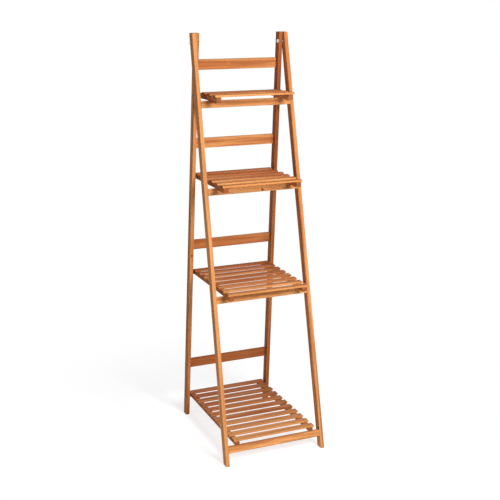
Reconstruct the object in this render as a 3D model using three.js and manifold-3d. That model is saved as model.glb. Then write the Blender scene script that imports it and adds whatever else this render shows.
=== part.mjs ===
// Folding ladder stand for plants: an A-frame of two wooden ladders hinged at
// the top, with four slatted shelves that swing up on the rear ladder as it folds.
// Millimetres, +Z up, front towards -Y, origin on the floor under the middle of the stand.
import * as THREE from 'three';
import { mergeVertices } from 'three/addons/utils/BufferGeometryUtils.js';
import Module from 'manifold-3d';

const wasm = await Module();
wasm.setup();

// ---- driving dimensions ----
const standHeight = 1500;
const hingeDrop = 33;
const hingeHeight = standHeight - hingeDrop;
const frontTilt = THREE.MathUtils.degToRad(12.4);
const rearTilt = THREE.MathUtils.degToRad(5.3);
const splay = THREE.MathUtils.degToRad(0.475);

const legThick = 14;
const legDepth = 30;
const hingeOffset = 8;
const hingeHalfWidth = 183.5;
const frameGap = 1.8;
const toeRound = 4;
const heelRound = 6;
const topRound = 3;
const edgeEase = 1.5;

const fitGap = 0.3;
const tenonLength = 9;
const boreSpare = 1;

const rungHeight = 25;
const rungThick = 14;
const rungTenon = [8, 19];
const rungShares = [0.14029, 0.3499, 0.61138, 0.97778];

const railHeight = 36.5;
const railThick = 12;
const railTenon = [6, 28];
const railShares = [0.04199, 0.23654, 0.50368, 0.84199];

const slatWidth = 26;
const slatThick = 7;
const slatRound = 1.8;
const slatCounts = [3, 6, 8, 11];
const seatRises = [25, 22.8, 22, 20.8];
const frontOverhangs = [83.85, 85.7, 57.75, -1.5];
const rearReaches = [-42.9, 13.25, 0.1, 18.6];

const battenWidth = 18;
const battenInset = 4.5;
const battenTail = 16;
const battenSetback = 1;
const battenEase = 0.75;
const noseRound = 5;
const browRound = 2;
const tailRound = 6;
const backRound = 3;
const shelfClearance = 5.5;
const notchGap = 0.5;
const lipDrop = 3.5;
const lipRound = 1.1;
const notchRound = 0.5;

const boltRadius = 3;
const boltHeadRadius = 7.5;
const boltHeadHeight = 4;
const boltHeadRim = 1;
const boltTip = 0.5;
const boltGrip = 2.6;
const nutRadius = 6.2;
const nutHexLength = 3;
const nutCapRadius = 5.2;
const nutCapRim = 3.4;
const nutLength = 4.5;
const nutBore = 3.2;

const pivotRadius = 2.7;
const pivotHeadRadius = 5.5;
const pivotHeadHeight = 3;
const pivotReach = 13;
const pivotBevel = 0.6;
const socketRadius = 2.3;
const socketDepth = 2;

const boreSides = 20;
const headSides = 24;
const domeSteps = 4;

// ---- materials ----
const wood = new THREE.MeshStandardMaterial({ color: 0xb9713f, roughness: 0.55 });
const slatWood = new THREE.MeshStandardMaterial({ color: 0xb06a3c, roughness: 0.6 });
const steel = new THREE.MeshStandardMaterial({ color: 0xc9c6c0, roughness: 0.3, metalness: 0.9 });

// ---- solids ----
function toSolid(geometry) {
  const plain = geometry.clone();
  plain.deleteAttribute('normal');
  plain.deleteAttribute('uv');
  const merged = mergeVertices(plain, 1e-4);
  return new wasm.Manifold(new wasm.Mesh({
    numProp: 3,
    vertProperties: new Float32Array(merged.attributes.position.array),
    triVerts: new Uint32Array(merged.index.array),
  }));
}

function toGeometry(solid) {
  const mesh = solid.getMesh();
  const geometry = new THREE.BufferGeometry();
  geometry.setAttribute('position', new THREE.BufferAttribute(mesh.vertProperties, 3));
  geometry.setIndex(new THREE.BufferAttribute(mesh.triVerts, 1));
  geometry.computeVertexNormals();
  return geometry;
}

// A closed outline whose corners are [y, z, radius].
function roundedShape(corners) {
  const shape = new THREE.Shape();
  const point = ([y, z]) => new THREE.Vector2(y, z);
  corners.forEach((corner, i) => {
    const here = point(corner);
    const radius = corner[2];
    const before = point(corners.at(i - 1)).sub(here).normalize();
    const after = point(corners[(i + 1) % corners.length]).sub(here).normalize();
    const reach = radius / Math.tan(Math.acos(before.dot(after)) / 2);
    const start = here.clone().addScaledVector(before, reach);
    const end = here.clone().addScaledVector(after, reach);
    if (i === 0) shape.moveTo(start.x, start.y);
    else shape.lineTo(start.x, start.y);
    if (radius > 0) shape.quadraticCurveTo(here.x, here.y, end.x, end.y);
  });
  shape.closePath();
  return shape;
}

const alongX = new THREE.Matrix4().makeBasis(
  new THREE.Vector3(0, 1, 0), new THREE.Vector3(0, 0, 1), new THREE.Vector3(1, 0, 0));

// A side outline given thickness along X, centred on x = 0, with eased edges.
function sideBoard(corners, thickness, ease) {
  const geometry = new THREE.ExtrudeGeometry(roundedShape(corners), {
    depth: thickness - 2 * ease,
    curveSegments: 3,
    bevelEnabled: ease > 0,
    bevelThickness: ease,
    bevelSize: ease,
    bevelOffset: -ease,
    bevelSegments: 2,
  });
  geometry.translate(0, 0, ease - thickness / 2);
  return geometry.applyMatrix4(alongX);
}

function rectangle(width, height, radius) {
  const [w, h] = [width / 2, height / 2];
  return [[-w, -h, radius], [w, -h, radius], [w, h, radius], [-w, h, radius]];
}

function box(x, y, z, atX, atY, atZ) {
  return new THREE.BoxGeometry(x, y, z).translate(atX, atY, atZ);
}

// A solid of revolution about X; the profile lists [radius, x].
function turned(profile, segments) {
  const points = profile.map(([radius, x]) => new THREE.Vector2(radius, x));
  return new THREE.LatheGeometry(points, segments).rotateZ(-Math.PI / 2);
}

function rod(radius, length, atX, atY, atZ, segments = boreSides) {
  return new THREE.CylinderGeometry(radius, radius, length, segments)
    .rotateZ(Math.PI / 2)
    .translate(atX, atY, atZ);
}

// Profile points of a dome, from its rim to its crown.
function dome(radius, rim, crown) {
  return Array.from({ length: domeSteps + 1 }, (_, i) => {
    const angle = (i / domeSteps) * (Math.PI / 2);
    const across = i < domeSteps ? radius * Math.cos(angle) : 0;
    return [across, rim + (crown - rim) * Math.sin(angle)];
  });
}

// ---- scene graph ----
const stand = new THREE.Group();
const frontFrame = new THREE.Group();
const rearFrame = new THREE.Group();
frontFrame.position.z = hingeHeight;
frontFrame.rotation.x = -frontTilt;
rearFrame.position.z = hingeHeight;
rearFrame.rotation.x = rearTilt;
stand.add(frontFrame, rearFrame);

function place(parent, name, geometry, material, x = 0, y = 0, z = 0) {
  const mesh = new THREE.Mesh(geometry, material);
  mesh.name = name;
  mesh.position.set(x, y, z);
  parent.add(mesh);
  return mesh;
}

const sides = [['left', -1], ['right', 1]];
const frames = {
  front: { turn: -frontTilt, centre: -hingeOffset, outer: hingeHalfWidth },
  rear: { turn: rearTilt, centre: hingeOffset, outer: hingeHalfWidth - legThick - frameGap },
};

// Half the clear width between a frame's legs at a height measured along the frame.
function innerHalf(frame, z) {
  return frame.outer - legThick - z * Math.tan(splay);
}

// ---- shelf geometry in the side view, from the hinge ----
const rungTops = rungShares.map((share) => share * hingeHeight);
const railTops = railShares.map((share) => share * hingeHeight);
const rungFace = -hingeOffset - legDepth / 2;
const battenHeights = seatRises.map((rise) => rise - slatThick - fitGap - notchGap);

// A point of the front frame, turned into the side view.
function tilted(y, z) {
  return new THREE.Vector2(y, z).rotateAround(new THREE.Vector2(), -frontTilt);
}

// Each shelf turns about `y`, `z`, lies `along` the rear leg, and spans `front` to `rear`.
const pivots = rungTops.map((top, i) => {
  const edge = tilted(rungFace, -top);
  const z = edge.y + notchGap + battenHeights[i] / 2;
  const y = hingeOffset / Math.cos(rearTilt) - z * Math.tan(rearTilt);
  return {
    y,
    z,
    along: z * Math.cos(rearTilt) - y * Math.sin(rearTilt),
    front: edge.x - frontOverhangs[i] - y,
    rear: rearReaches[i],
  };
});

// ---- legs ----
function legBlank(frame) {
  const end = (y, height) => (height - y * Math.sin(frame.turn)) / Math.cos(frame.turn);
  const [near, far] = [frame.centre - legDepth / 2, frame.centre + legDepth / 2];
  const [top, bottom] = [standHeight - hingeHeight, -hingeHeight];
  return sideBoard([
    [near, end(near, bottom), frame.turn < 0 ? toeRound : heelRound],
    [far, end(far, bottom), frame.turn < 0 ? heelRound : toeRound],
    [far, end(far, top), topRound],
    [near, end(near, top), topRound],
  ], legThick, edgeEase);
}

function mortise(side, tenon, y, z) {
  const [depth, wide, tall] = [tenonLength, ...tenon].map((size) => size + 2 * fitGap);
  return box(depth, wide, tall, -side * (legThick - depth + fitGap) / 2, y, z);
}

const rungY = rungFace + rungThick / 2;
const railY = hingeOffset + legDepth / 2 - railThick / 2;
const hingeBore = rod(boltRadius + fitGap, 2 * legThick, 0, 0, 0);

for (const [sideName, side] of sides) {
  let leg = toSolid(legBlank(frames.front)).subtract(toSolid(hingeBore));
  for (const top of rungTops) {
    leg = leg.subtract(toSolid(mortise(side, rungTenon, rungY, -top - rungHeight / 2)));
  }
  const front = place(frontFrame, `front_leg_${sideName}`, toGeometry(leg), wood);
  front.position.x = side * (frames.front.outer - legThick / 2);
  front.rotation.y = -side * splay;
}

for (const [sideName, side] of sides) {
  let leg = toSolid(legBlank(frames.rear)).subtract(toSolid(hingeBore));
  for (const top of railTops) {
    leg = leg.subtract(toSolid(mortise(side, railTenon, railY, -top - railHeight / 2)));
  }
  const [face, sink] = [side * legThick / 2, pivotHeadHeight + 3 * fitGap];
  for (const { along } of pivots) {
    leg = leg
      .subtract(toSolid(rod(pivotRadius + fitGap, 2 * legThick, 0, hingeOffset, along)))
      .subtract(toSolid(rod(pivotHeadRadius + fitGap, 2 * sink, face, hingeOffset, along)));
  }
  const rear = place(rearFrame, `rear_leg_${sideName}`, toGeometry(leg), wood);
  rear.position.x = side * (frames.rear.outer - legThick / 2);
  rear.rotation.y = -side * splay;
}

// ---- rungs and rails, tenoned into the legs ----
function crossBar(frame, thick, height, tenon, z) {
  const half = innerHalf(frame, z) - fitGap;
  const bar = sideBoard(rectangle(thick, height, edgeEase), 2 * half, 0);
  const tongue = box(2 * (half + tenonLength), tenon[0], tenon[1], 0, 0, 0);
  return toGeometry(toSolid(bar).add(toSolid(tongue)));
}

rungTops.forEach((top, i) => {
  const z = -top - rungHeight / 2;
  const bar = crossBar(frames.front, rungThick, rungHeight, rungTenon, z);
  place(frontFrame, `front_rung_${i + 1}`, bar, wood, 0, rungY, z);
});

railTops.forEach((top, i) => {
  const z = -top - railHeight / 2;
  const bar = crossBar(frames.rear, railThick, railHeight, railTenon, z);
  place(rearFrame, `back_rail_${i + 1}`, bar, wood, 0, railY, z);
});

// ---- hinge bolts: domed head inside the rear leg, cap nut outside the front leg ----
const boltLength = 2 * legThick + frameGap + 2 * fitGap + boltGrip;
const boltShape = turned([
  [0, 0],
  [boltRadius - boltTip, 0],
  [boltRadius, boltTip],
  [boltRadius, boltLength],
  [boltHeadRadius, boltLength],
  ...dome(boltHeadRadius, boltLength + boltHeadRim, boltLength + boltHeadHeight),
], headSides);
const nutCap = turned([
  [0, fitGap],
  [nutCapRadius, fitGap],
  ...dome(nutCapRadius, nutCapRim, nutLength),
], headSides);
const nutShape = toGeometry(
  toSolid(rod(nutRadius, nutHexLength, nutHexLength / 2, 0, 0, 6))
    .add(toSolid(nutCap))
    .subtract(toSolid(rod(boltRadius + fitGap, 2 * nutBore, 0, 0, 0))));

for (const [sideName, side] of sides) {
  const outerFace = side * (hingeHalfWidth + fitGap);
  const bolt = place(rearFrame, `hinge_bolt_${sideName}`, boltShape, steel);
  bolt.position.x = outerFace + side * boltGrip;
  bolt.rotation.z = side > 0 ? Math.PI : 0;
  const nut = place(rearFrame, `hinge_nut_${sideName}`, nutShape, steel);
  nut.position.x = outerFace;
  nut.rotation.z = side > 0 ? 0 : Math.PI;
}

// ---- shelf pivot bolts, sunk flush in the rear legs ----
pivots.forEach((pivot, i) => {
  const outer = frames.rear.outer - pivot.along * Math.tan(splay);
  const whole = legThick + shelfClearance + battenInset + pivotReach;
  const shank = whole - pivotHeadHeight;
  const pin = turned([
    [0, 0],
    [pivotRadius - pivotBevel, 0],
    [pivotRadius, pivotBevel],
    [pivotRadius, shank],
    [pivotHeadRadius, shank],
    [pivotHeadRadius, whole - pivotBevel],
    [pivotHeadRadius - pivotBevel, whole],
    [0, whole],
  ], boreSides);
  const socket = rod(socketRadius, 2 * socketDepth, whole, 0, 0, 6);
  const shape = toGeometry(toSolid(pin).subtract(toSolid(socket)));
  for (const [sideName, side] of sides) {
    const bolt = place(rearFrame, `shelf_${i + 1}_pivot_${sideName}`, shape, steel);
    bolt.position.set(side * (outer - fitGap - whole), hingeOffset, pivot.along);
    bolt.rotation.z = side > 0 ? 0 : Math.PI;
  }
});

// ---- shelves: slats on two battens that rest on the front rung ----
// A batten that runs past the rung has a shallow lip down the rung's front face.
function battenOutline(pivot, rungTop, height) {
  const [bottom, top] = [-height / 2, height / 2];
  const front = pivot.front + battenSetback;
  const edge = tilted(rungFace - notchGap, -rungTop).sub(new THREE.Vector2(pivot.y, pivot.z));
  const faceAt = (z) => edge.x + (z - edge.y) * Math.tan(frontTilt);
  const nose = front < edge.x ? [
    [front, bottom - lipDrop, noseRound],
    [faceAt(bottom - lipDrop), bottom - lipDrop, lipRound],
    [faceAt(bottom), bottom, notchRound],
  ] : [
    [front, bottom, noseRound],
  ];
  return [
    ...nose,
    [battenTail, bottom, tailRound],
    [battenTail, top, backRound],
    [front, top, browRound],
  ];
}

slatCounts.forEach((count, i) => {
  const pivot = pivots[i];
  const outline = battenOutline(pivot, rungTops[i], battenHeights[i]);
  const half = innerHalf(frames.rear, pivot.along) - shelfClearance;
  const shelf = new THREE.Group();
  shelf.position.set(0, pivot.y, hingeHeight + pivot.z);
  stand.add(shelf);

  for (const [sideName, side] of sides) {
    const bore = rod(pivotRadius + fitGap, 2 * (pivotReach + boreSpare), side * battenWidth / 2, 0, 0);
    const batten = toSolid(sideBoard(outline, battenWidth, battenEase)).subtract(toSolid(bore));
    const atX = side * (half - battenInset - battenWidth / 2);
    place(shelf, `shelf_${i + 1}_batten_${sideName}`, toGeometry(batten), wood, atX);
  }

  const pitch = (pivot.rear - pivot.front - slatWidth) / (count - 1);
  const slat = sideBoard(rectangle(slatWidth, slatThick, slatRound), 2 * half, 0);
  for (let k = 0; k < count; k += 1) {
    const y = pivot.front + slatWidth / 2 + k * pitch;
    const z = (battenHeights[i] + slatThick) / 2 + fitGap;
    place(shelf, `shelf_${i + 1}_slat_${k + 1}`, slat, slatWood, 0, y, z);
  }
});

// ---- the middle of the stand over the origin ----
const reach = new THREE.Box3().setFromObject(stand, true);
stand.position.y = -(reach.min.y + reach.max.y) / 2;

export default stand;
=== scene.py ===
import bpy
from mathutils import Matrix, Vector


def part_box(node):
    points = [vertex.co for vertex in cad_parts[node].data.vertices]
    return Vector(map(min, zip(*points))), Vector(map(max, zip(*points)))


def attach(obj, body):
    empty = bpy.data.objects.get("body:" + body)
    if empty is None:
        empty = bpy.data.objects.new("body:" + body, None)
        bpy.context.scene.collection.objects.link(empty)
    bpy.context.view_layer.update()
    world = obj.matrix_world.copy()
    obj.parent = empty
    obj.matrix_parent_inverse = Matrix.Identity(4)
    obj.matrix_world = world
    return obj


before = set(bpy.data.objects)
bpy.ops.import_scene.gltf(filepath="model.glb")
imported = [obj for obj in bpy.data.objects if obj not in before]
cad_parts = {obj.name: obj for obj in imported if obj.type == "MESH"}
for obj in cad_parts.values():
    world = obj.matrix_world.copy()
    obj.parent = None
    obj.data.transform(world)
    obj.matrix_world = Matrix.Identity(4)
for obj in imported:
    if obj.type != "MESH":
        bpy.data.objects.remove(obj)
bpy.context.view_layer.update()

import math
import random

import bmesh
import bpy
from mathutils import Matrix, Vector

scene = bpy.context.scene
MM = 0.001
WHITE = (1.0, 1.0, 1.0, 1.0)
BLACK = (0.0, 0.0, 0.0, 1.0)


def linear(r, g, b):
    """An sRGB colour from 0 to 255 as a linear RGBA value."""
    def channel(value):
        value /= 255.0
        return value / 12.92 if value <= 0.04045 else ((value + 0.055) / 1.055) ** 2.4
    return (channel(r), channel(g), channel(b), 1.0)


# ---- node helpers ----
class Graph:
    """A short way to write a node tree."""

    # The sockets of a Mix node that hold its two colours and its result.
    MIX_FIRST, MIX_SECOND, MIX_RESULT = 6, 7, 2

    def __init__(self, tree):
        self.tree = tree
        tree.nodes.clear()

    def add(self, kind, **values):
        node = self.tree.nodes.new(kind)
        for key, value in values.items():
            setattr(node, key, value)
        return node

    def put(self, node, name, value):
        """A socket takes another node's output, or a plain value."""
        socket = node.inputs[name]
        if isinstance(value, bpy.types.NodeSocket):
            self.tree.links.new(value, socket)
        else:
            socket.default_value = value

    def make(self, kind, inputs, output=0, **values):
        """Adds a node with its inputs filled in, and gives one of its outputs."""
        node = self.add(kind, **values)
        for name, value in inputs.items():
            self.put(node, name, value)
        return node.outputs[output]

    def coordinate(self, name):
        return self.make("ShaderNodeTexCoord", {}, name)

    def mapping(self, at, **inputs):
        """Moves, turns or stretches a place by Location, Rotation and Scale."""
        return self.make("ShaderNodeMapping", {"Vector": at, **inputs})

    def math(self, operation, a, b=0.0):
        return self.make("ShaderNodeMath", {0: a, 1: b}, operation=operation)

    def vector(self, operation, a, b, output="Vector"):
        return self.make("ShaderNodeVectorMath", {0: a, 1: b}, output, operation=operation)

    def length(self, a):
        return self.make("ShaderNodeVectorMath", {0: a}, "Value", operation="LENGTH")

    def scaled(self, a, amount):
        return self.make("ShaderNodeVectorMath", {0: a, "Scale": amount}, operation="SCALE")

    def mix(self, factor, a, b):
        inputs = {0: factor, self.MIX_FIRST: a, self.MIX_SECOND: b}
        return self.make("ShaderNodeMix", inputs, self.MIX_RESULT, data_type="RGBA")

    def step(self, value, levels, start=0.0, end=1.0):
        """Goes smoothly from start to end while the value goes from the first level to the second."""
        inputs = {
            "Value": value,
            "From Min": levels[0],
            "From Max": levels[1],
            "To Min": start,
            "To Max": end,
        }
        return self.make("ShaderNodeMapRange", inputs, interpolation_type="SMOOTHSTEP")

    def noise(self, at, scale, detail=3.0, rough=0.55):
        inputs = {"Vector": at, "Scale": scale, "Detail": detail, "Roughness": rough}
        return self.make("ShaderNodeTexNoise", inputs)

    def bump(self, height, strength, distance):
        return self.make("ShaderNodeBump", {"Strength": strength, "Distance": distance, "Height": height})

    def show(self, shader, kind="ShaderNodeOutputMaterial"):
        """Makes the shader what the material or the world shows."""
        self.put(self.add(kind), "Surface", shader)


def new_material(name):
    material = bpy.data.materials.new(name)
    material.use_nodes = True
    return material, Graph(material.node_tree)


# ---- wood ----
PALE = linear(230, 168, 104)
MIDDLE = linear(198, 124, 68)
DARK = linear(138, 72, 34)
STAIN = linear(150, 66, 32)
KNOT = linear(74, 32, 14)
END_GRAIN = linear(128, 66, 34)
# The pale of the corners, both wear and a painted edge highlight.
WORN_AND_HIGHLIGHT = linear(238, 182, 120)

# The patterns are drawn out along the board, by the first number of each.
RING_STRETCH = (0.07, 1.0, 1.0)
FIBRE_STRETCH = (0.035, 1.0, 1.0)

# How fine the noise of each pattern is.
WANDER_SCALE = 9.0
RING_FADE_SCALE = 14.0
DRIFT_SCALE = 24.0
WEAR_AND_HIGHLIGHT_SCALE = 38.0
BAND_SCALE = 70.0
STREAK_SCALE = 170.0
KNOT_EDGE_SCALE = 400.0
FIBRE_SCALE = 900.0
PORE_SCALE = 1500.0

# The noise levels between which each pattern sets in.
RING_FADE_LEVELS = (0.3, 0.75)
DRIFT_LEVELS = (0.32, 0.7)
WEAR_AND_HIGHLIGHT_LEVELS = (0.3, 0.7)
BAND_LEVELS = (0.45, 0.66)
STREAK_LEVELS = (0.44, 0.74)
FIBRE_LEVELS = (0.5, 0.85)
PORE_LEVELS = (0.63, 0.76)
GLOSS_LEVELS = (0.3, 0.7)

# How strongly each one shows in the colour.
BAND_DEPTH = 0.72
LATE_WOOD_DEPTH = 0.66
STREAK_DEPTH = 0.55
FIBRE_DEPTH = 0.4
PORE_DEPTH = 0.4
KNOT_DEPTH = 0.88
END_GRAIN_DEPTH = 0.75
WEAR_AND_HIGHLIGHT_DEPTH = 0.4

# Late wood darkens slowly through a growth ring, and ends sharply.
LATE_WOOD_RISE = (0.15, 0.86)
LATE_WOOD_FALL = (0.9, 1.0)
FAINT_RING = 0.35
RING_SPACING = 2.6 * MM
RING_VARIETY = (0.85, 1.5)
RING_WANDER = 0.034
PITH_DISTANCE = (0.02, 0.05)
PITH_SPREAD = 0.05
PITH_LEAN = 0.3
BOARD_SPREAD = 0.9

# How far a knot bends the grain, and how wide its core is, in radii of the knot.
KNOT_BEND = (0.6, 4.2)
KNOT_CORE = (0.75, 1.5)
KNOT_RAGGED = 0.5
KNOT_PUSH = -0.62

# How square to the grain a face has to be to show end grain.
END_GRAIN_FACING = (0.7, 0.95)

# How far the surface has to turn within the edge's width to be rubbed paler, as wear and painted highlight.
CORNER_TURN = (0.02, 0.2)
LEAST_WEAR_AND_HIGHLIGHT = 0.25
WEAR_AND_HIGHLIGHT_WIDTH = 1.6 * MM
WEAR_AND_HIGHLIGHT_SAMPLES = 6

FIBRE_RELIEF = 0.6
LATE_WOOD_RELIEF = 0.5
PORE_RELIEF = 0.5
WOOD_BUMP = 0.35
WOOD_BUMP_HEIGHT = 0.22 * MM
SMOOTH_WOOD = 0.52
ROUGH_WOOD = 0.7
WOOD_SPECULAR = 0.12
FIBRE_GLOSS = 0.5
DRIFT_GLOSS = 0.5


def bend_round_knots(g, at, knots):
    """Gives the place with the grain bent round each knot, and a mask of the knots' cores."""
    mask = 0.0
    bent = at
    for place, radius in knots:
        offset = g.vector("SUBTRACT", at, place)
        distance = g.length(offset)
        near = g.step(distance, [radius * reach for reach in KNOT_BEND], 1.0, 0.0)
        bent = g.vector("ADD", bent, g.scaled(offset, g.math("MULTIPLY", near, KNOT_PUSH)))
        rag = g.math("MULTIPLY", g.noise(at, KNOT_EDGE_SCALE), KNOT_RAGGED * radius)
        core_levels = [radius * reach for reach in KNOT_CORE]
        core = g.step(g.math("ADD", distance, rag), core_levels, 1.0, 0.0)
        mask = g.math("MAXIMUM", mask, core)
    return bent, mask


def late_wood(g, at, rng):
    """Growth rings round a pith that lies off the board and leans a little."""
    pith = g.mapping(
        at,
        Location=(0.0, rng.uniform(*PITH_DISTANCE), rng.uniform(-PITH_SPREAD, PITH_SPREAD)),
        Rotation=(0.0, rng.uniform(-PITH_LEAN, PITH_LEAN), rng.uniform(-PITH_LEAN, PITH_LEAN)))
    across = g.vector("MULTIPLY", pith, (0.0, 1.0, 1.0))
    wander = g.noise(at, WANDER_SCALE, detail=2.0, rough=0.5)
    radius = g.math("ADD", g.length(across), g.math("MULTIPLY", wander, RING_WANDER))
    phase = g.math("FRACT", g.math("DIVIDE", radius, RING_SPACING * rng.uniform(*RING_VARIETY)))
    late = g.math("MULTIPLY", g.step(phase, LATE_WOOD_RISE), g.step(phase, LATE_WOOD_FALL, 1.0, 0.0))
    strength = g.step(g.noise(at, RING_FADE_SCALE, detail=1.0), RING_FADE_LEVELS, FAINT_RING, 1.0)
    return g.math("MULTIPLY", late, strength)


def darken_ends(g, colour, turn):
    """End grain drinks the stain. The face's direction is turned as the board is."""
    facing = g.make("ShaderNodeMapping", {"Vector": g.coordinate("Normal"), "Rotation": turn},
                    vector_type="VECTOR")
    along = g.make("ShaderNodeSeparateXYZ", {0: facing}, "X")
    end = g.step(g.math("ABSOLUTE", along), END_GRAIN_FACING)
    return g.mix(g.math("MULTIPLY", end, END_GRAIN_DEPTH), colour, END_GRAIN)


def rub_and_highlight_corners(g, colour, at):
    """Corners are rubbed paler in patches, where a rounded normal leaves the true one; the paleness is wear
    and also a painted edge highlight.
    """
    rounded = g.make("ShaderNodeBevel", {"Radius": WEAR_AND_HIGHLIGHT_WIDTH}, samples=WEAR_AND_HIGHLIGHT_SAMPLES)
    normal = g.make("ShaderNodeNewGeometry", {}, "Normal")
    corner = g.math("SUBTRACT", 1.0, g.vector("DOT_PRODUCT", rounded, normal, "Value"))
    patchy = g.step(g.noise(at, WEAR_AND_HIGHLIGHT_SCALE), WEAR_AND_HIGHLIGHT_LEVELS, LEAST_WEAR_AND_HIGHLIGHT, 1.0)
    worn_and_lit = g.math("MULTIPLY", g.step(corner, CORNER_TURN), patchy)
    return g.mix(g.math("MULTIPLY", worn_and_lit, WEAR_AND_HIGHLIGHT_DEPTH), colour, WORN_AND_HIGHLIGHT)


def wood(name, seed, turn, knots, tone, red):
    """Stained softwood whose grain runs along the board.

    turn brings the board's length onto the X axis, tone makes a board lighter or darker,
    red adds stain, and knots are (place, radius) in metres. On legs, rails and slats, tone and red
    also carry painted light and shade.
    """
    rng = random.Random(seed)
    material, g = new_material(name)
    at = g.coordinate("Object")
    bent, knot_mask = bend_round_knots(g, at, knots)
    board = g.mapping(
        bent,
        Rotation=turn,
        Location=[rng.uniform(-BOARD_SPREAD, BOARD_SPREAD) for _ in range(3)])
    ring_space = g.mapping(board, Scale=RING_STRETCH)
    fibre_space = g.mapping(board, Scale=FIBRE_STRETCH)

    late = late_wood(g, ring_space, rng)
    drift = g.noise(ring_space, DRIFT_SCALE, detail=2.0, rough=0.5)
    bands = g.noise(fibre_space, BAND_SCALE, detail=2.0, rough=0.5)
    streaks = g.noise(fibre_space, STREAK_SCALE, rough=0.6)
    fibres = g.noise(fibre_space, FIBRE_SCALE, detail=4.0, rough=0.62)
    pores = g.step(g.noise(fibre_space, PORE_SCALE, detail=1.0), PORE_LEVELS)

    colour = g.mix(g.step(drift, DRIFT_LEVELS), PALE, MIDDLE)
    colour = g.mix(g.step(bands, BAND_LEVELS, 0.0, BAND_DEPTH), colour, DARK)
    colour = g.mix(g.math("MULTIPLY", late, LATE_WOOD_DEPTH), colour, DARK)
    colour = g.mix(g.step(streaks, STREAK_LEVELS, 0.0, STREAK_DEPTH), colour, DARK)
    colour = g.mix(g.step(fibres, FIBRE_LEVELS, 0.0, FIBRE_DEPTH), colour, DARK)
    colour = g.mix(g.math("MULTIPLY", pores, PORE_DEPTH), colour, KNOT)
    # On legs, rails and slats, red and tone also carry painted light and shade.
    colour = g.mix(red, colour, STAIN)
    colour = g.mix(abs(tone), colour, PALE if tone > 0.0 else DARK)
    if knots:
        colour = g.mix(g.math("MULTIPLY", knot_mask, KNOT_DEPTH), colour, KNOT)
    colour = darken_ends(g, colour, turn)
    # Paler corners: wear and a painted edge highlight.
    colour = rub_and_highlight_corners(g, colour, at)

    height = g.math("ADD", g.math("MULTIPLY", fibres, FIBRE_RELIEF),
                    g.math("MULTIPLY", late, LATE_WOOD_RELIEF))
    height = g.math("SUBTRACT", height, g.math("MULTIPLY", pores, PORE_RELIEF))
    gloss = g.math("ADD", g.math("MULTIPLY", fibres, FIBRE_GLOSS),
                   g.math("MULTIPLY", drift, DRIFT_GLOSS))
    g.show(g.make("ShaderNodeBsdfPrincipled", {
        "Base Color": colour,
        "Roughness": g.step(gloss, GLOSS_LEVELS, SMOOTH_WOOD, ROUGH_WOOD),
        "Normal": g.bump(height, WOOD_BUMP, WOOD_BUMP_HEIGHT),
        "Specular IOR Level": WOOD_SPECULAR,
    }))
    return material


# ---- metal ----
TARNISH = linear(150, 142, 130)
TARNISH_SCALE = 420.0
TARNISH_LEVELS = (0.35, 0.8)
TARNISH_DEPTH = 0.35
SCRATCH_SCALE = 2600.0
SCRATCH_LEVELS = (0.3, 0.8)
SCRATCH_SMOOTHER = 0.08
SCRATCH_ROUGHER = 0.14
METAL_BUMP = 0.25
METAL_BUMP_HEIGHT = 0.03 * MM


def steel(name, base, roughness, brushed):
    """Plated steel with fine scratches and a little tarnish. A low brushed value draws the scratches out."""
    material, g = new_material(name)
    at = g.coordinate("Object")
    scratches = g.noise(g.mapping(at, Scale=(brushed, 1.0, 1.0)), SCRATCH_SCALE, detail=2.0)
    cloud = g.noise(at, TARNISH_SCALE)
    rough = g.step(scratches, SCRATCH_LEVELS, roughness - SCRATCH_SMOOTHER, roughness + SCRATCH_ROUGHER)
    g.show(g.make("ShaderNodeBsdfPrincipled", {
        "Base Color": g.mix(g.step(cloud, TARNISH_LEVELS, 0.0, TARNISH_DEPTH), base, TARNISH),
        "Metallic": 1.0,
        "Roughness": rough,
        "Normal": g.bump(scratches, METAL_BUMP, METAL_BUMP_HEIGHT),
    }))
    return material


zinc = steel("zinc_steel", linear(214, 212, 208), roughness=0.24, brushed=0.2)
bronzed = steel("bronzed_steel", linear(104, 82, 62), roughness=0.42, brushed=0.3)
dark_steel = steel("dark_sleeve", linear(86, 62, 46), roughness=0.5, brushed=0.5)


# ---- what each CAD node is made of ----
# The tilts of the two ladders, in degrees, as the grain follows them.
FRONT_TILT = -12.4
REAR_TILT = 5.3

# Rotations that lay a board's own length along X for the grain.
ALONG_X = (0.0, 0.0, 0.0)
ALONG_Y = (0.0, 0.0, -math.pi / 2)

# Each stain is how pale a board is, or how dark below 0, and how red. On the legs these are
# painted light and shade: the front left leg paler as if lit, the rear right leg darker and redder
# as if shaded. The rails darken and redden towards the floor, and the slats of a shelf from its front
# to its back, as painted shade.
LEG_STAIN_AND_PAINTED_LIGHT = {
    "front_leg_left": (0.3, 0.04),
    "front_leg_right": (0.04, 0.04),
    "rear_leg_left": (-0.08, 0.04),
    "rear_leg_right": (-0.38, 0.3),
}
RUNG_STAIN = (0.2, 0.0)
# Painted shade: the lower rails are darker and redder.
RAIL_STAIN_AND_PAINTED_SHADE = ((0.0, 0.07), (0.02, 0.19), (-0.2, 0.31), (-0.6, 0.43))
BATTEN_STAIN = (-0.14, 0.22)
# Painted light on the front slat, and painted shade that deepens towards the back slat.
FRONT_SLAT_STAIN_AND_PAINTED_LIGHT = (0.3, 0.02)
BACK_SLAT_STAIN_AND_PAINTED_SHADE = (-0.5, 0.42)
TONE_SPREAD = (-0.06, 0.08)
RED_SPREAD = (0.0, 0.1)
SLAT_COUNTS = (3, 6, 8, 11)

KNOT_CHANCE = 0.35
KNOT_SHARES = (0.15, 0.85)
KNOT_RADII = (2.6, 4.4)
RUNG_KNOT_X = 33.0 * MM
RUNG_KNOT_DROP = 3.5 * MM
RUNG_KNOT_RADIUS = 5.4 * MM

BOARD_SEED = 1000
GRAIN_SEED = 77

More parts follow.
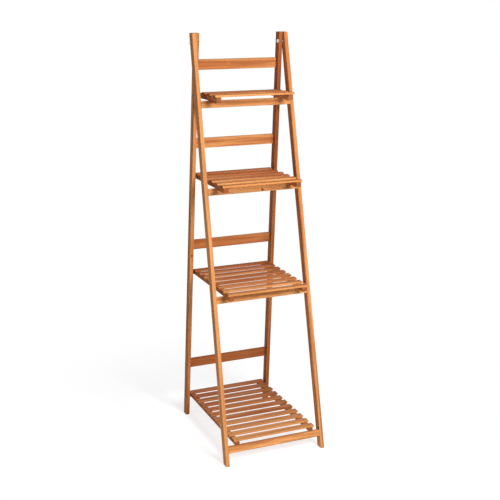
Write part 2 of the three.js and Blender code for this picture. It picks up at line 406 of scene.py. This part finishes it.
# How much the sharp edges are rounded.
WELD_DISTANCE = 0.01 * MM
SHARP_ANGLE = math.radians(50.0)
BOARD_EDGE = 0.5 * MM
BOLT_EDGE = 0.25 * MM
PIVOT_EDGE = 0.2 * MM


def dress(node, material, edge):
    """Gives a CAD node its material, and rounds its sharp edges; its vertices stay as they are."""
    node.data.materials.clear()
    node.data.materials.append(material)
    weld = node.modifiers.new("weld", "WELD")
    weld.merge_threshold = WELD_DISTANCE
    bevel = node.modifiers.new("bevel", "BEVEL")
    bevel.width = edge
    bevel.segments = 2
    bevel.limit_method = "ANGLE"
    bevel.angle_limit = SHARP_ANGLE


def grain_turn(name):
    """The rotation that lays the length of the board along X."""
    if "leg" in name:
        upright = Matrix.Rotation(math.radians(-(FRONT_TILT if "front" in name else REAR_TILT)), 3, "X")
        return tuple((Matrix.Rotation(math.pi / 2, 3, "Y") @ upright).to_euler())
    return ALONG_Y if "batten" in name else ALONG_X


def stain_and_painted_light_of(name):
    """How pale and how red a kind of board is, with painted light and shade on the legs, rails and slats."""
    if name in LEG_STAIN_AND_PAINTED_LIGHT:
        return LEG_STAIN_AND_PAINTED_LIGHT[name]
    if "rung" in name:
        return RUNG_STAIN
    if "rail" in name:
        return RAIL_STAIN_AND_PAINTED_SHADE[int(name[-1]) - 1]
    if "batten" in name:
        return BATTEN_STAIN
    shelf, slat = [int(word) for word in name.split("_") if word.isdigit()]
    # Painted shade: the slats darken and redden from the front of the shelf to its back.
    share = (slat - 1) / (SLAT_COUNTS[shelf - 1] - 1)
    return [front + (back - front) * share for front, back in zip(FRONT_SLAT_STAIN_AND_PAINTED_LIGHT, BACK_SLAT_STAIN_AND_PAINTED_SHADE)]


def knots_of(name, rng):
    """Some boards get a knot by chance, and the second front rung has the photograph's knot.

    A leg's place is on the diagonal of its box, so a knot can fall beside a rear leg and not show.
    """
    low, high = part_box(name)
    middle = (low + high) / 2
    knots = []
    if rng.random() < KNOT_CHANCE:
        place = low.lerp(high, rng.uniform(*KNOT_SHARES))
        if "leg" not in name:
            place = Vector((place.x, middle.y, middle.z))
        knots.append((tuple(place), rng.uniform(*KNOT_RADII) * MM))
    if name == "front_rung_2":
        knots = [((RUNG_KNOT_X, low.y, middle.z - RUNG_KNOT_DROP), RUNG_KNOT_RADIUS)]
    return knots


for order, (name, node) in enumerate(sorted(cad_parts.items())):
    if "bolt" in name or "nut" in name:
        dress(node, zinc, BOLT_EDGE)
    elif "pivot" in name:
        dress(node, bronzed, PIVOT_EDGE)
    else:
        rng = random.Random(BOARD_SEED + order)
        # The tone and red carry painted light and shade on the legs, rails and slats.
        tone, red = stain_and_painted_light_of(name)
        tone += rng.uniform(*TONE_SPREAD)
        red += rng.uniform(*RED_SPREAD)
        knots = knots_of(name, rng)
        board = wood(name + "_wood", GRAIN_SEED + order, grain_turn(name), knots, tone, red)
        dress(node, board, BOARD_EDGE)


# ---- small hardware that rides on the frame ----
# As in the CAD: the legs' thickness, the gap between a leg's outer face and the head or nut
# in or on it, and the gap between the front and rear legs.
LEG_THICK = 14.0 * MM
SEAT = 0.3 * MM
FRAME_GAP = 1.8 * MM

# The room left at each end of a sleeve or washer.
PLAY = 0.2 * MM
SLEEVE_OUTER = 5.2 * MM
SLEEVE_INNER = 3.0 * MM
WASHER_OUTER = 9.0 * MM
WASHER_INNER = 3.2 * MM
RING_CHAMFER = 0.3 * MM
RING_STEPS = 32

SCREW_RADIUS = 3.1 * MM
SCREW_RISE = 0.5 * MM
SCREW_SINK = 0.6 * MM
SOCKET_RADIUS = 1.3 * MM
SOCKET_DEPTH = 0.8 * MM
SCREW_STEPS = 18

SIDES = (("left", -1.0), ("right", 1.0))
UPRIGHT = Matrix.Identity(4)
ONTO_X = Matrix.Rotation(math.pi / 2, 4, "Y")


def turned(name, material, profile, steps, turn):
    """A shape turned about Z from (radius, height) points, then laid by turn.

    Only the last point may be on the axis.
    """
    bm = bmesh.new()
    rings = []
    for radius, height in profile:
        count = 1 if radius == 0.0 else steps
        angles = [2 * math.pi * i / steps for i in range(count)]
        rings.append([bm.verts.new((radius * math.cos(a), radius * math.sin(a), height)) for a in angles])
    for low_ring, high_ring in zip(rings, rings[1:]):
        for i in range(steps):
            j = (i + 1) % steps
            if len(high_ring) == 1:
                bm.faces.new((low_ring[i], low_ring[j], high_ring[0]))
            else:
                bm.faces.new((low_ring[i], low_ring[j], high_ring[j], high_ring[i]))
    bmesh.ops.recalc_face_normals(bm, faces=bm.faces)
    bm.transform(turn)
    mesh = bpy.data.meshes.new(name)
    bm.to_mesh(mesh)
    bm.free()
    mesh.materials.append(material)
    return mesh


def ring(name, material, outer, inner, length):
    """A chamfered tube along X, centred on its own origin."""
    half = length / 2
    return turned(name, material, [
        (inner, -half),
        (outer - RING_CHAMFER, -half),
        (outer, RING_CHAMFER - half),
        (outer, half - RING_CHAMFER),
        (outer - RING_CHAMFER, half),
        (inner, half),
        (inner, -half),
    ], RING_STEPS, ONTO_X)


def fit(name, mesh, place, body):
    """Adds a piece of hardware that moves with a body."""
    piece = bpy.data.objects.new(name, mesh)
    scene.collection.objects.link(piece)
    piece.location = place
    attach(piece, body)


def x_reach(low, high):
    """The least and the greatest distance of a box's ends from the middle of the stand."""
    return sorted((abs(low.x), abs(high.x)))


# From the rim, sunk in the slat, over a low dome and down into the socket.
screw_head = turned("slat_screw", bronzed, [
    (SCREW_RADIUS, -SCREW_SINK),
    (SCREW_RADIUS, 0.1 * SCREW_RISE),
    (0.8 * SCREW_RADIUS, 0.7 * SCREW_RISE),
    (1.2 * SOCKET_RADIUS, SCREW_RISE),
    (SOCKET_RADIUS, 0.8 * SCREW_RISE),
    (0.9 * SOCKET_RADIUS, SCREW_RISE - SOCKET_DEPTH),
    (0.0, SCREW_RISE - 1.2 * SOCKET_DEPTH),
], SCREW_STEPS, UPRIGHT)

# A sleeve on each shelf pivot between leg and batten, and a screw on each slat over each batten.
for shelf, count in enumerate(SLAT_COUNTS, 1):
    for side, sign in SIDES:
        pin_low, pin_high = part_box(f"shelf_{shelf}_pivot_{side}")
        bar_low, bar_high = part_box(f"shelf_{shelf}_batten_{side}")
        outer_end = x_reach(pin_low, pin_high)[1] + SEAT - LEG_THICK - PLAY
        inner_end = x_reach(bar_low, bar_high)[1] + PLAY
        axis = (pin_low + pin_high) / 2
        name = f"shelf_{shelf}_sleeve_{side}"
        sleeve = ring(name, dark_steel, SLEEVE_OUTER, SLEEVE_INNER, outer_end - inner_end)
        fit(name, sleeve, (sign * (outer_end + inner_end) / 2, axis.y, axis.z), "rear_frame")
        for slat in range(1, count + 1):
            low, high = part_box(f"shelf_{shelf}_slat_{slat}")
            place = ((bar_low.x + bar_high.x) / 2, (low.y + high.y) / 2, high.z)
            fit(f"shelf_{shelf}_screw_{slat}_{side}", screw_head, place, f"shelf_{shelf}")

# A washer between the legs on each hinge bolt.
for side, sign in SIDES:
    low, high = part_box(f"hinge_nut_{side}")
    leg_face = x_reach(low, high)[0] - SEAT - LEG_THICK
    name = f"hinge_washer_{side}"
    washer = ring(name, zinc, WASHER_OUTER, WASHER_INNER, FRAME_GAP - 2 * PLAY)
    place = (sign * (leg_face - FRAME_GAP / 2), (low.y + high.y) / 2, (low.z + high.z) / 2)
    fit(name, washer, place, "rear_frame")


# ---- floor and backdrop ----
FLOOR_SIZE = 9.0
FLOOR_CELLS = 8
FLOOR_COLOUR = (0.86, 0.86, 0.87, 1.0)

# Near the stand the camera sees shade and glow that add up to white in full light, so that the
# shadow shows; further out it sees white alone.
SHADE_COLOUR = (0.45, 0.45, 0.46, 1.0)
SHADE_RADII = (0.4, 1.2)
NEAR_GLOW = 0.73

ROOM_COLOUR = (0.95, 0.97, 1.0, 1.0)
ROOM_STRENGTH = 0.17


def camera_like(g):
    """1 where the camera sees a surface straight, in a mirror or through glass."""
    path = g.add("ShaderNodeLightPath")
    seen = path.outputs["Is Camera Ray"]
    for other in ("Is Glossy Ray", "Is Transmission Ray"):
        seen = g.math("MAXIMUM", seen, path.outputs[other])
    return seen


def choose(g, unseen, seen):
    """What lights the object, and what the camera sees instead."""
    return g.make("ShaderNodeMixShader", {0: camera_like(g), 1: unseen, 2: seen})


def floor_paper():
    material, g = new_material("floor_white")
    fade = g.step(g.length(g.coordinate("Object")), SHADE_RADII)
    shade = g.make("ShaderNodeBsdfDiffuse", {"Color": g.mix(fade, SHADE_COLOUR, BLACK)})
    glow = g.make("ShaderNodeEmission", {
        "Color": WHITE,
        "Strength": g.math("ADD", NEAR_GLOW, g.math("MULTIPLY", fade, 1.0 - NEAR_GLOW)),
    })
    seen = g.make("ShaderNodeAddShader", {0: shade, 1: glow})
    g.show(choose(g, g.make("ShaderNodeBsdfDiffuse", {"Color": FLOOR_COLOUR}), seen))
    return material


bm = bmesh.new()
bmesh.ops.create_grid(bm, x_segments=FLOOR_CELLS, y_segments=FLOOR_CELLS, size=FLOOR_SIZE / 2)
floor_mesh = bpy.data.meshes.new("floor")
bm.to_mesh(floor_mesh)
bm.free()
floor_mesh.materials.append(floor_paper())
floor = bpy.data.objects.new("floor", floor_mesh)
scene.collection.objects.link(floor)

world = bpy.data.worlds.new("studio")
scene.world = world
world.use_nodes = True
g = Graph(world.node_tree)
room = g.make("ShaderNodeBackground", {"Color": ROOM_COLOUR, "Strength": ROOM_STRENGTH})
backdrop = g.make("ShaderNodeBackground", {"Color": WHITE, "Strength": 1.0})
g.show(choose(g, room, backdrop), "ShaderNodeOutputWorld")


# ---- lamps ----
def softbox(name, place, aim, size, watts, colour):
    data = bpy.data.lights.new(name, "AREA")
    data.shape = "RECTANGLE"
    data.size, data.size_y = size
    data.energy = watts
    data.color = colour
    lamp = bpy.data.objects.new(name, data)
    scene.collection.objects.link(lamp)
    lamp.location = place
    lamp.rotation_euler = (Vector(aim) - Vector(place)).to_track_quat("-Z", "Y").to_euler()


softbox("key", place=(0.35, -2.4, 2.0), aim=(0.0, 0.0, 0.75), size=(0.8, 1.2),
        watts=92.0, colour=(1.0, 0.98, 0.95))
softbox("fill", place=(-2.6, -1.2, 1.4), aim=(0.0, 0.0, 0.7), size=(1.2, 2.0),
        watts=15.0, colour=(1.0, 0.97, 0.94))
softbox("back", place=(0.9, 3.0, 0.35), aim=(0.0, 0.0, 0.7), size=(1.6, 0.6),
        watts=20.0, colour=(1.0, 0.98, 0.96))


# ---- camera, fitted to the photograph's legs, rungs and rails ----
# Millimetres.
SENSOR_WIDTH = 36.0
FOCAL_LENGTH = 68.85
CAMERA_PLACE = (-1.3349, -3.1294, 1.6276)

# Radians below level, and round from +Y.
CAMERA_DOWN = 0.2605
CAMERA_TURN = -0.404

camera_data = bpy.data.cameras.new("camera")
camera_data.sensor_width = SENSOR_WIDTH
camera_data.lens = FOCAL_LENGTH
camera = bpy.data.objects.new("camera", camera_data)
scene.collection.objects.link(camera)
camera.location = CAMERA_PLACE
camera.rotation_euler = (math.pi / 2 - CAMERA_DOWN, 0.0, CAMERA_TURN)
scene.camera = camera
scene.view_settings.view_transform = "Standard"
